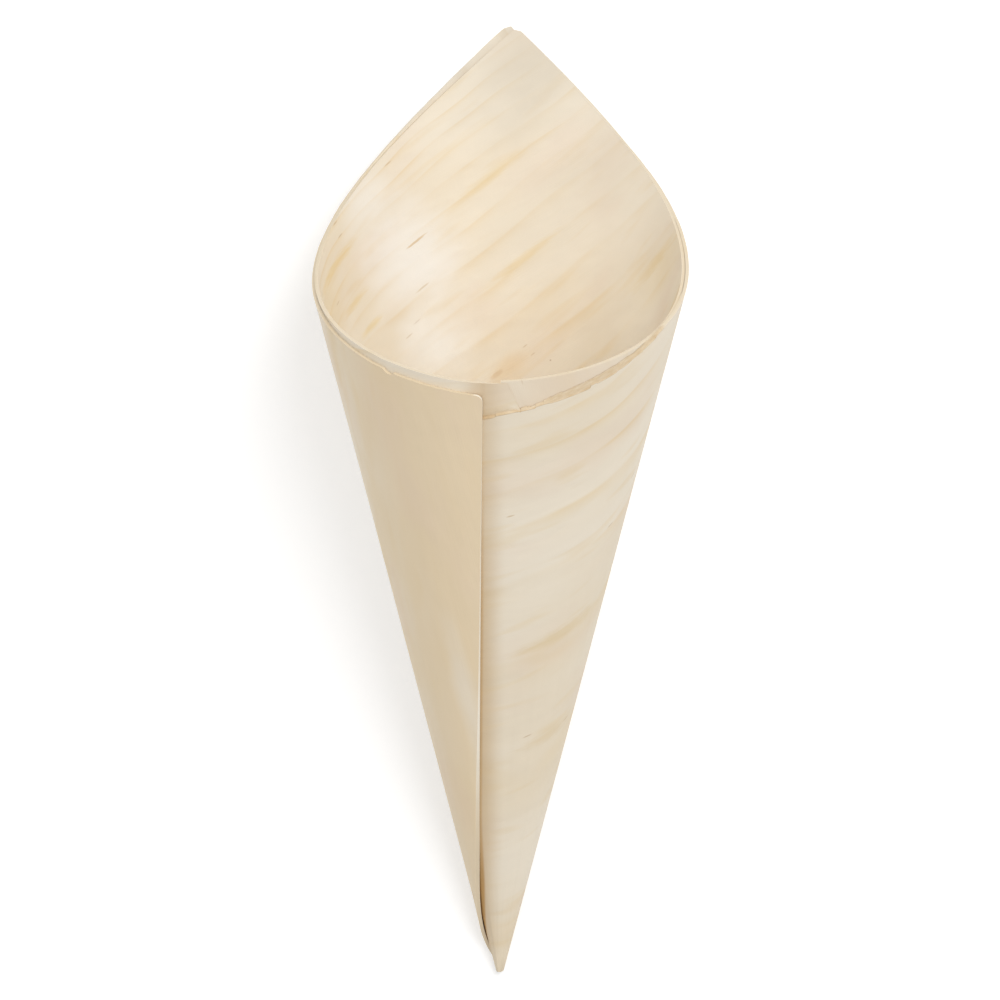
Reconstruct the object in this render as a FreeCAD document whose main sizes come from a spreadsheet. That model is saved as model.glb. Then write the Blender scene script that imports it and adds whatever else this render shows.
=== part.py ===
import FreeCAD
import Part
import Sketcher
import math
import os

# A serving cone rolled from one rectangular sheet of thin wood veneer, in millimetres.
# The flat sheet lies in the XY plane of its own sketch, with the point of the cone at the
# origin: X runs along the long edges, and the near long edge passes the point at a small
# distance. Rolled up, a spot of the sheet at an angle and a distance from the point lies at
# that same distance from the point of the cone, on the side line whose azimuth is the angle
# divided by the sine of the half angle. The two halves of the near edge so become the long
# seams outside and inside, the two far corners meet as the peak, and the sheet goes round
# nearly twice, each turn inside the one before.
# The cone lies on its side, on the line below its peak, with the outer seam on top. Along that
# line its outer face is pressed flat by a tenth of a millimetre or so, so it doesn't roll.

SIZES = (
    ("half_angle", "14.3", "degrees between the axis and the side of the cone"),
    ("sheet_length", "209.3", "long side of the flat sheet"),
    ("sheet_width", "102.6", "short side of the flat sheet"),
    ("point_clearance", "3.3", "distance of the near long edge from the point of the cone"),
    ("veneer_thickness", "0.5", "thickness of the sheet"),
    ("turn_gap", "0.1", "air and glue between one turn and the next"),
    ("seam_turn", "1.4", "degrees that the outer seam lies beside the top line"),
    ("rest_flat", "13", "degrees of the round that are pressed flat where the cone lies"),
    ("corner_wear", "1.5", "length worn off each end of the near edge"),
    ("flap_trim_width", "2.0", "cut off the outer end of the sheet at its near corner"),
    ("flap_trim_length", "34.8", "how far that cut runs up the end of the sheet"),
    ("splinter_length", "28.5", "length along the rim of the splinter missing beside the seam"),
    ("splinter_depth", "6.1", "depth of that splinter at its thick end"),
    ("splinter_tip", "32.8", "distance of its thin end from the middle of the sheet"),
    ("break_width", "1.9", "slant of the cross break at its thick end"),
    ("rim_dip", "1.5", "how much lower the rim stays beside the break"),
    ("rim_dip_length", "36.0", "length over which that dip runs out"),
)
NODE_NAME = "veneer_cone"
PARTS_FOLDER = "parts"
STATION_STEP = 0.1
FEWEST_STEPS = 2
SEWING_TOLERANCE = 1e-4
SAME_WAY = 1
LINE_START, LINE_END = 1, 2
HALF_TURN = math.pi
HALF_TURN_DEGREES = 180
QUARTER_TURN_DEGREES = 90
ALONG_X = FreeCAD.Vector(1, 0, 0)
# A pitch is one thickness and one gap. Each half turn lies this share of it further in.
HALF_TURN_STEP = 1 / 2
# The axes of the half turns lie this share of the pitch to either side of the cone's axis.
AXIS_SHIFT = HALF_TURN_STEP / 2
# The stencil is thicker than the sheet by this share of the gap, on each face.
STENCIL_MARGIN = 1 / 4
SLOPE = "Sizes.half_angle * 1 deg"
THICKNESS = "Sizes.veneer_thickness * 1 mm"
PITCH = "(Sizes.veneer_thickness + Sizes.turn_gap) * 1 mm"
FIRST_LINE = f"atan(2 * Sizes.point_clearance / Sizes.sheet_length) / sin({SLOPE})"
PEAK = "sqrt((Sizes.sheet_length / 2) ^ 2 + (Sizes.point_clearance + Sizes.sheet_width) ^ 2) * 1 mm"
REST_SLOPE = f"atan(tan({SLOPE}) * cos(Sizes.rest_flat / 2 * 1 deg))"


def fill_sheet(document):
    """Write every driving dimension into the spreadsheet, one named cell each."""
    sheet = document.addObject("Spreadsheet::Sheet", "Sizes")
    for row, (alias, value, note) in enumerate(SIZES, start=1):
        sheet.set(f"A{row}", alias)
        sheet.set(f"B{row}", value)
        sheet.set(f"C{row}", note)
        sheet.setAlias(f"B{row}", alias)
    document.recompute()
    return sheet


def blank_corners():
    """Name each corner of the flat sheet, with its place as two spreadsheet expressions.

    They go round from the near corner of the outer end, over the rim, to the near corner of
    the inner end.
    """
    half = "Sizes.sheet_length / 2"
    near = "Sizes.point_clearance"
    far = "(Sizes.point_clearance + Sizes.sheet_width)"
    splinter_root = "(Sizes.splinter_tip - Sizes.splinter_length)"
    break_top = f"({splinter_root} - Sizes.break_width)"
    return (
        ("outer_near", f"{half} - Sizes.flap_trim_width", near),
        ("outer_trim", half, f"{near} + Sizes.flap_trim_length"),
        ("outer_peak", half, far),
        ("splinter_tip", "Sizes.splinter_tip", far),
        ("splinter_root", splinter_root, f"{far} - Sizes.splinter_depth"),
        ("break_top", break_top, f"{far} - Sizes.rim_dip"),
        ("dip_end", f"{break_top} - Sizes.rim_dip_length", far),
        ("inner_peak", f"-{half}", far),
        ("inner_near", f"-{half}", near),
    )


def draw_blank(document, sheet):
    """Draw the outline of the flat sheet, with every corner bound to the spreadsheet."""
    sketch = document.addObject("Sketcher::SketchObject", "FlatSheet")
    corners = blank_corners()
    guesses = []
    for index in range(len(corners)):
        turn = HALF_TURN * index / len(corners)
        guesses.append(FreeCAD.Vector(math.cos(turn), math.sin(turn), 0) * sheet.sheet_width)
    for index, guess in enumerate(guesses):
        following = guesses[(index + 1) % len(guesses)]
        sketch.addGeometry(Part.LineSegment(guess, following), False)
    for index in range(len(corners)):
        following = (index + 1) % len(corners)
        joined = Sketcher.Constraint("Coincident", index, LINE_END, following, LINE_START)
        sketch.addConstraint(joined)
    for index, (name, across, along) in enumerate(corners):
        guess = guesses[index]
        for kind, value, place in (("DistanceX", guess.x, across), ("DistanceY", guess.y, along)):
            row = sketch.addConstraint(Sketcher.Constraint(kind, index, LINE_START, value))
            sketch.renameConstraint(row, f"{name}_{kind[-1]}")
            sketch.setExpression(f"Constraints.{name}_{kind[-1]}", f"({place}) * 1 mm")
    document.recompute()
    return sketch


def distance_on_ray(angle, start, end):
    """Measure from the point of the cone, along a ray of the flat sheet, to one of its edges."""
    normal = FreeCAD.Vector(start.y - end.y, end.x - start.x, 0)
    ray = FreeCAD.Vector(math.cos(angle), math.sin(angle), 0)
    return normal.dot(start) / normal.dot(ray)


def angle_of(corner):
    """Give the angle at which a spot of the flat sheet lies, seen from the point of the cone."""
    return math.atan2(corner.y, corner.x)


def first_line(sheet):
    """Give the travel round the cone, from the seam's foot, at which the first half turn starts."""
    start = math.atan(2 * sheet.point_clearance / sheet.sheet_length)
    return start / math.sin(math.radians(sheet.half_angle))


def half_turn_count(sheet):
    """Count the half turns that the sheet makes from its outer end to its inner end."""
    whole = HALF_TURN / math.sin(math.radians(sheet.half_angle))
    return math.ceil((whole - 2 * first_line(sheet)) / HALF_TURN)


def roll_up(sheet, angle, distance, depth):
    """Carry one spot of the flat sheet to its place on the rolled cone.

    The depth is how far the spot lies below the outer face of the sheet. In each half turn
    the sheet moves inward by half a pitch, so that a whole turn just clears the one before.
    The outer face stands one pitch outside the true cone at the start of the first half turn.
    """
    slope = math.radians(sheet.half_angle)
    travel = angle / math.sin(slope)
    azimuth = math.radians(sheet.seam_turn) - travel
    pitch = sheet.veneer_thickness + sheet.turn_gap
    half_turns, rest = divmod(travel - first_line(sheet), HALF_TURN)
    inward = half_turns * HALF_TURN_STEP + AXIS_SHIFT * (1 - math.cos(rest))
    proud = pitch * (1 - inward) - depth
    radius = distance * math.sin(slope) + proud * math.cos(slope)
    height = distance * math.cos(slope) - proud * math.sin(slope)
    return FreeCAD.Vector(radius * math.sin(azimuth), -radius * math.cos(azimuth), height)


def stations_between(first, last):
    """Space the side lines of one stretch so that their near ends lie about evenly.

    A near edge at the distance d from the point reaches x = d sinh(u), with u the value that
    is spaced evenly here.
    """
    low = -math.log(math.tan(first / 2))
    high = -math.log(math.tan(last / 2))
    count = max(FEWEST_STEPS, math.ceil(abs(high - low) / STATION_STEP))
    spaced = [low + (high - low) * number / count for number in range(count + 1)]
    return [2 * math.atan(math.exp(-value)) for value in spaced]


def smooth_edge(points):
    """Lay one smooth edge through the points, each at its own whole number along the edge."""
    curve = Part.BSplineCurve()
    curve.interpolate(Points=points, Parameters=[float(count) for count in range(len(points))])
    return curve.toShape()


def section_corners(sheet, angle, near_line, far_line):
    """Give the corners of the stencil's section along one side line, going round it."""
    near = distance_on_ray(angle, *near_line)
    far = distance_on_ray(angle, *far_line)
    margin = sheet.turn_gap * STENCIL_MARGIN
    top = -margin
    bottom = sheet.veneer_thickness + margin
    around = ((near, top), (far, top), (far, bottom), (near, bottom))
    return [roll_up(sheet, angle, distance, depth) for distance, depth in around]


def roll_stretch(sheet, angles, near_line, far_line):
    """Make the four long faces of one stretch of the stencil, between two side lines."""
    sections = [section_corners(sheet, angle, near_line, far_line) for angle in angles]
    edges = [smooth_edge(list(points)) for points in zip(*sections)]
    pairs = zip(edges, edges[1:] + edges[:1])
    return [Part.makeRuledSurface(edge, following, SAME_WAY) for edge, following in pairs]


def close_end(sheet, angle, near_line, far_line):
    """Close the stencil with a flat face across its thickness, along one side line."""
    corners = section_corners(sheet, angle, near_line, far_line)
    return Part.Face(Part.makePolygon(corners + corners[:1]))


def worn_angle(corner, wear):
    """Give the angle of the near edge's end, once its corner is worn back along that edge."""
    inward = FreeCAD.Vector(-math.copysign(wear, corner.x), 0, 0)
    return angle_of(corner + inward)


def stencil_solid(sheet, sketch):
    """Roll the outline up into one closed solid, stretch by stretch of its rim."""
    corners = [line.StartPoint for line in sketch.Geometry]
    near_line = (corners[-1], corners[0])
    limits = [angle_of(corner) for corner in corners]
    limits[0] = worn_angle(corners[0], sheet.corner_wear)
    limits[-1] = worn_angle(corners[-1], sheet.corner_wear)
    faces = []
    for index in range(len(corners) - 1):
        far_line = (corners[index], corners[index + 1])
        angles = stations_between(limits[index], limits[index + 1])
        faces += roll_stretch(sheet, angles, near_line, far_line)
    faces.append(close_end(sheet, limits[0], near_line, (corners[0], corners[1])))
    faces.append(close_end(sheet, limits[-1], near_line, (corners[-2], corners[-1])))
    skin = Part.makeCompound(faces)
    skin.sewShape(SEWING_TOLERANCE)
    solid = Part.makeSolid(Part.Shell(skin.Faces))
    if solid.Volume < 0:
        solid.reverse()
    return solid


def add_stencil(document, sheet, sketch):
    """Add the rolled-up outline, which trims the cone's wall to the edges of the sheet."""
    stencil = document.addObject("Part::Feature", "Stencil")
    stencil.Shape = stencil_solid(sheet, sketch)
    return stencil


def add_cone(document, name, number, bottom_radius):
    """Add one side of a half turn: half a cone about its own axis, bound to the spreadsheet.

    Half turns alternate between two axes, half a pitch apart, so each runs smoothly on into
    the next, as the arcs of a scroll do. All start at the point of their inner side.
    """
    proud = f"({PITCH} * ({1 - AXIS_SHIFT - number * HALF_TURN_STEP}))"
    rise = f"(({THICKNESS} - {proud}) / sin({SLOPE}))"
    azimuth = f"(Sizes.seam_turn * 1 deg - {FIRST_LINE} - {HALF_TURN_DEGREES * number} deg)"
    shift = f"({PITCH} * {AXIS_SHIFT} / cos({SLOPE}))"
    cone = document.addObject("Part::Cone", f"{name}{number}")
    cone.setExpression("Height", f"{PEAK} - {rise}")
    cone.setExpression("Radius1", bottom_radius)
    cone.setExpression("Radius2", f"{bottom_radius} + ({PEAK} - {rise}) * tan({SLOPE})")
    cone.setExpression("Angle", f"{HALF_TURN_DEGREES} deg")
    cone.setExpression("Placement.Base.x", f"{shift} * sin({azimuth})")
    cone.setExpression("Placement.Base.y", f"-{shift} * cos({azimuth})")
    cone.setExpression("Placement.Base.z", rise)
    cone.setExpression("Placement.Rotation.Angle", f"{azimuth} + {QUARTER_TURN_DEGREES} deg")
    return cone


def add_wall(document, sheet):
    """Add the wall of every half turn, and join them into one scroll."""
    half_turns = []
    for number in range(half_turn_count(sheet)):
        wall = document.addObject("Part::Cut", f"HalfTurn{number}")
        wall.Base = add_cone(document, "OuterSide", number, f"{THICKNESS} / cos({SLOPE})")
        wall.Tool = add_cone(document, "InnerSide", number, "0 mm")
        half_turns.append(wall)
    scroll = document.addObject("Part::MultiFuse", "Scroll")
    scroll.Shapes = half_turns
    return scroll


def press_flat(document, scroll):
    """Take the flat on which the cone lies off the outer face, opposite the seam.

    The plane of the flat goes through the point of the outer face there, which stands half a
    pitch outside the true cone, and cuts off the stated part of the round.
    """
    across = "(Sizes.sheet_width * 1 mm)"
    floor = document.addObject("Part::Box", "Floor")
    floor.setExpression("Length", across)
    floor.setExpression("Width", across)
    floor.setExpression("Height", f"{PEAK} + {across}")
    floor.setExpression("Placement.Base.x", f"-{across} / 2")
    floor.setExpression("Placement.Base.z", f"-{PITCH} * {1 - HALF_TURN_STEP} / sin({SLOPE})")
    floor.setExpression("Placement.Rotation.Angle", f"-{REST_SLOPE}")
    floor.Placement.Rotation.Axis = ALONG_X
    pressed = document.addObject("Part::Cut", "PressedScroll")
    pressed.Base = scroll
    pressed.Tool = floor
    return pressed


def rest_slope(sheet):
    """Give the angle between the axis and the flat on which the cone lies, in degrees."""
    half_flat = math.radians(sheet.rest_flat / 2)
    slope = math.radians(sheet.half_angle)
    return math.degrees(math.atan(math.tan(slope) * math.cos(half_flat)))


def lay_down(sheet, solid):
    """Give the placement that lays the cone on its flat, centred over the origin."""
    fall = FreeCAD.Rotation(ALONG_X, rest_slope(sheet) - QUARTER_TURN_DEGREES)
    fallen = solid.transformed(FreeCAD.Placement(FreeCAD.Vector(), fall).toMatrix())
    box = fallen.optimalBoundingBox(False, False)
    return FreeCAD.Placement(FreeCAD.Vector(-box.Center.x, -box.Center.y, -box.ZMin), fall)


def add_rolled_sheet(document, sheet, scroll, stencil):
    """Trim the scroll with the stencil, and lay the cone down, as one named solid."""
    cone = document.addObject("Part::MultiCommon", NODE_NAME)
    cone.Label = NODE_NAME
    cone.Shapes = [scroll, stencil]
    document.recompute()
    cone.Placement = lay_down(sheet, cone.Shape)
    return cone


def check_and_export(document, sub_parts):
    """Stop if anything failed, then write each sub-part to its own STEP file."""
    for item in document.Objects:
        if "Invalid" in item.State or "Error" in item.State:
            raise RuntimeError(f"{item.Label} failed: {item.State}")
    for item in sub_parts:
        if item.Shape.isNull() or not item.Shape.isValid():
            raise RuntimeError(f"{item.Label} has no valid shape")
    os.makedirs(PARTS_FOLDER, exist_ok=True)
    for item in sub_parts:
        item.Shape.exportStep(os.path.join(PARTS_FOLDER, f"{item.Label}.step"))
        box = item.Shape.optimalBoundingBox(False, False)
        print(item.Label, "solids", len(item.Shape.Solids), "volume", round(item.Shape.Volume, 1))
        print("size", round(box.XLength, 2), round(box.YLength, 2), round(box.ZLength, 2))


def main():
    """Build the cone from its sizes and write it out."""
    document = FreeCAD.newDocument("ServingCone")
    sheet = fill_sheet(document)
    sketch = draw_blank(document, sheet)
    stencil = add_stencil(document, sheet, sketch)
    scroll = press_flat(document, add_wall(document, sheet))
    cone = add_rolled_sheet(document, sheet, scroll, stencil)
    document.recompute()
    check_and_export(document, [cone])


main()
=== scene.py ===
"""Looks of a serving cone rolled from one thin sheet of pine veneer, lying on its side.

Lengths are in metres. The flat sheet is described in its own plane: X runs along the long
edges, Y across them, and the point of the cone is at the origin. The rolled cone is first made
standing on its point, with its axis along Z and its outer seam towards -Y, and then laid down
on the flat below its peak.
"""

from __future__ import annotations

import logging
import math
from dataclasses import dataclass
from enum import Enum
from typing import Mapping, Optional, Sequence, Union
import bpy
import numpy as np
from mathutils import Matrix, Vector


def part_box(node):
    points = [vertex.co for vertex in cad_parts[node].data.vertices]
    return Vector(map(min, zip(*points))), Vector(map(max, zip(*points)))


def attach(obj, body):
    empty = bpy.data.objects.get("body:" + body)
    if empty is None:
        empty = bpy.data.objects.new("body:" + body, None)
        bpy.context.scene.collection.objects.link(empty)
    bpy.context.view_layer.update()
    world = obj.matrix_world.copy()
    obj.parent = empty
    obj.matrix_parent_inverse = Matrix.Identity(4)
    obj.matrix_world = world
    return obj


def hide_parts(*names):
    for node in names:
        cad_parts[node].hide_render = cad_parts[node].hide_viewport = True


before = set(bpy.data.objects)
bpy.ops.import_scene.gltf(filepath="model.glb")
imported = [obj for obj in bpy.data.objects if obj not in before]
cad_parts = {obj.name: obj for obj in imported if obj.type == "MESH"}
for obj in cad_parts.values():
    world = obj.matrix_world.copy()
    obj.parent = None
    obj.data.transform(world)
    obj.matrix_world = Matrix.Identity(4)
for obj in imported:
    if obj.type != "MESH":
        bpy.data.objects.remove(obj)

log = logging.getLogger("serving_cone")

NODE = "veneer_cone"
BODY = "root"
MILLIMETRE = 0.001
FLAT_SPOT = "flat_spot"
TORN = "torn"

Span = tuple[float, float]
Colour = tuple[int, int, int]


class Face(Enum):
    """The two faces of the rolled sheet, by the share of its thickness that lies outside."""

    OUTER = 0.0
    INNER = 1.0


def smooth_step(values: np.ndarray, low: float, high: float) -> np.ndarray:
    """Rise smoothly from 0 at low to 1 at high.

    Args:
        values: The places to measure at.
        low: Where the rise starts.
        high: Where the rise ends.

    Returns:
        One number from 0 to 1 for each value.
    """
    share = np.clip((values - low) / (high - low), 0.0, 1.0)
    return share * share * (3.0 - 2.0 * share)


@dataclass(frozen=True)
class TornFibres:
    """The uneven line of a torn edge: straight runs along the fibres, with steps between."""

    seed: int
    run: float
    step: float
    drift: float = 0.0
    reach: float = 0.3

    def offsets(self, places: np.ndarray) -> np.ndarray:
        """Give how far the torn line stands off its straight course.

        Args:
            places: Places along the edge, in metres.

        Returns:
            The offset at each place, in metres.
        """
        random = np.random.default_rng(self.seed)
        count = int(2 * self.reach / self.run)
        knots = -self.reach + np.cumsum(random.uniform(0.3, 1.7, count) * self.run)
        levels = random.normal(0.0, self.step, count + 1)
        slants = random.normal(self.drift, abs(self.drift) / 2 + 1e-6, count + 1)
        index = np.searchsorted(knots, places)
        starts = np.concatenate([[-self.reach], knots])[index]
        return levels[index] + slants[index] * (places - starts)


@dataclass(frozen=True)
class FlatSheet:
    """The veneer before it is rolled, with its trimmed, worn and torn edges."""

    length: float = 0.2093
    width: float = 0.1026
    point_clearance: float = 0.0033
    thickness: float = 0.0005
    corner_wear: float = 0.0015
    corner_round: float = 0.0009
    flap_trim_width: float = 0.0020
    flap_trim_length: float = 0.0348
    splinter_length: float = 0.0285
    splinter_depth: float = 0.0061
    splinter_tip: float = 0.0328
    break_width: float = 0.0019
    rim_dip: float = 0.0015
    rim_dip_length: float = 0.0360
    split_end: float = -0.0040
    split_depth: float = 0.00022
    break_depth: float = 0.00048
    tear_shift: float = 0.00025
    narrow_bevel: float = 0.00030
    wide_bevel: float = 0.00095
    band: float = 0.00025
    nick_place: float = 0.0188
    nick_width: float = 0.0008
    nick_depth: float = 0.0005
    foot_reach: float = 0.0012
    foot_width: float = 0.0080
    peak_wear: float = 0.0011
    peak_wear_length: float = 0.0110
    lining_wear: float = 0.0011
    wear_onset: float = 0.0007
    tip_wear: float = 0.0007
    tip_wear_length: float = 0.0011
    slant: float = 0.00045
    slant_fade: Span = (0.15, 0.45)
    slant_most: float = 0.9
    bevel_widens: Span = (0.0080, 0.0100)
    bevel_narrows: Span = (0.0215, 0.0245)
    flap_angle: float = math.radians(40)

    @property
    def half(self) -> float:
        """Half the length of the sheet."""
        return self.length / 2

    @property
    def far(self) -> float:
        """Distance of the far long edge from the point of the cone."""
        return self.point_clearance + self.width

    @property
    def root(self) -> float:
        """Place along the sheet where the missing splinter broke off."""
        return self.splinter_tip - self.splinter_length

    def corners(self) -> np.ndarray:
        """List the outline from the near corner of the outer end to that of the inner end.

        Returns:
            One corner in each row.
        """
        top = self.root - self.break_width
        return np.array(
            [
                (self.half - self.flap_trim_width, self.point_clearance),
                (self.half, self.point_clearance + self.flap_trim_length),
                (self.half, self.far),
                (self.splinter_tip, self.far),
                (self.root, self.far - self.splinter_depth),
                (top, self.far - self.rim_dip),
                (top - self.rim_dip_length, self.far),
                (-self.half, self.far),
                (-self.half, self.point_clearance),
            ]
        )

    def end_angles(self) -> Span:
        """Find where the worn ends of the near edge lie.

        Returns:
            The angles of the outer and the inner end.
        """
        start = math.atan2(
            self.point_clearance, self.half - self.flap_trim_width - self.corner_wear
        )
        end = math.pi - math.atan2(self.point_clearance, self.half - self.corner_wear)
        return start, end

    def line_distance(
        self, angles: np.ndarray, start: np.ndarray, end: np.ndarray
    ) -> np.ndarray:
        """Measure along rays from the point of the cone to a straight line of the sheet.

        Args:
            angles: The angle of each ray.
            start: One spot of the line, or one for each ray.
            end: Another spot of the line, or one for each ray.

        Returns:
            The distance to the line along each ray.
        """
        across = start[..., 1] - end[..., 1]
        along = end[..., 0] - start[..., 0]
        reach = across * start[..., 0] + along * start[..., 1]
        return reach / (across * np.cos(angles) + along * np.sin(angles))

    def outline_distance(self, angles: np.ndarray) -> np.ndarray:
        """Measure along rays to the straight outline of the far side of the sheet.

        Args:
            angles: The angle of each ray.

        Returns:
            The distance along each ray.
        """
        corners = self.corners()
        limits = np.arctan2(corners[:, 1], corners[:, 0])
        index = np.clip(np.searchsorted(limits, angles) - 1, 0, len(corners) - 2)
        return self.line_distance(angles, corners[index], corners[index + 1])

    def tear_distance(self, angles: np.ndarray) -> np.ndarray:
        """Measure along rays to the line along which the splinter tore away."""
        corners = self.corners()
        return self.line_distance(angles, corners[3], corners[4]) + self.tear_shift

    def bevel(self, along: np.ndarray) -> np.ndarray:
        """Give the width of the slanted, torn face.

        Args:
            along: Places along the sheet.

        Returns:
            The width at each place.
        """
        wide = smooth_step(along, *self.bevel_widens)
        wide = wide * (1 - smooth_step(along, *self.bevel_narrows))
        return self.narrow_bevel + (self.wide_bevel - self.narrow_bevel) * wide

    def near_distance(self, angles: np.ndarray) -> np.ndarray:
        """Measure along rays to the near edge, which reaches out at the foot of the cone.

        Args:
            angles: The angle of each ray.

        Returns:
            The distance along each ray.
        """
        straight = self.point_clearance / np.sin(angles)
        along = straight * np.cos(angles)
        reach = self.foot_reach * np.exp(-((along / self.foot_width) ** 2))
        return (self.point_clearance - reach) / np.sin(angles)

    def slanted_cut(self, angles: np.ndarray, room: np.ndarray) -> np.ndarray:
        """Give how far the outer face ends short of the flap's near edge.

        Args:
            angles: The side lines.
            room: The most that may be taken off each side line.

        Returns:
            The distance along each side line.
        """
        wanted = self.slant / np.sin(angles) * (1 - smooth_step(angles, *self.slant_fade))
        return np.minimum(wanted, room * self.slant_most)

    def worn_corners(self, angles: np.ndarray) -> np.ndarray:
        """Give how much is worn off the far side beside the two corners of the peak.

        Args:
            angles: The side lines.

        Returns:
            The wear along each side line, in metres.
        """
        reach = math.hypot(self.half, self.far)
        corner = math.atan2(self.far, self.half)
        past = (angles - corner) * reach
        wear = np.where(past > 0, 1 - np.exp(-np.abs(past) / self.wear_onset), 0.0)
        wear = self.peak_wear * wear * np.exp(-np.abs(past) / self.peak_wear_length)
        wear = wear + self.tip_wear * np.exp(-np.abs(past) / self.tip_wear_length)
        past = (angles - (math.pi - corner)) * reach
        return wear + self.lining_wear * np.exp(-np.abs(past) / self.peak_wear_length)


@dataclass(frozen=True)
class RollStations:
    """How closely the side lines of the mesh follow each other along the sheet."""

    turn_step: float = 2.2
    near_step: float = 0.06
    rim_step: float = 0.00014
    corner_step: float = 0.00010
    torn_margin: float = 0.001
    nick_reach: float = 1.6
    samples: int = 60000

    def angles(self, sheet: FlatSheet, slope: float) -> np.ndarray:
        """Choose the side lines, closer together where the outline has fine detail.

        Args:
            sheet: The flat sheet.
            slope: Half angle of the cone, in radians.

        Returns:
            The angles of the side lines in the flat sheet, rising.
        """
        start, end = sheet.end_angles()
        fine = np.linspace(start, end, self.samples)
        reach = sheet.outline_distance(fine)
        along = reach * np.cos(fine)
        up = reach * np.sin(fine)
        density = 1.0 / (math.radians(self.turn_step) * math.sin(slope))
        density = density + 1.0 / (self.near_step * np.sin(fine))
        torn = along > sheet.split_end - self.torn_margin
        torn &= along < sheet.splinter_tip + self.torn_margin
        torn &= up > sheet.far - 2 * sheet.splinter_depth
        density = density + torn * reach / self.rim_step
        corner = np.exp(-(((fine - start) * sheet.half / sheet.corner_round) ** 2))
        density = density + corner * reach / self.corner_step
        nick = np.abs(up - sheet.nick_place) < self.nick_reach * sheet.nick_width
        nick &= fine < sheet.flap_angle
        density = density + nick * reach / self.rim_step
        steps = (density[1:] + density[:-1]) / 2 * np.diff(fine)
        total = np.concatenate([[0.0], np.cumsum(steps)])
        count = int(math.ceil(total[-1]))
        return np.interp(np.linspace(0.0, total[-1], count + 1), total, fine)


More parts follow.
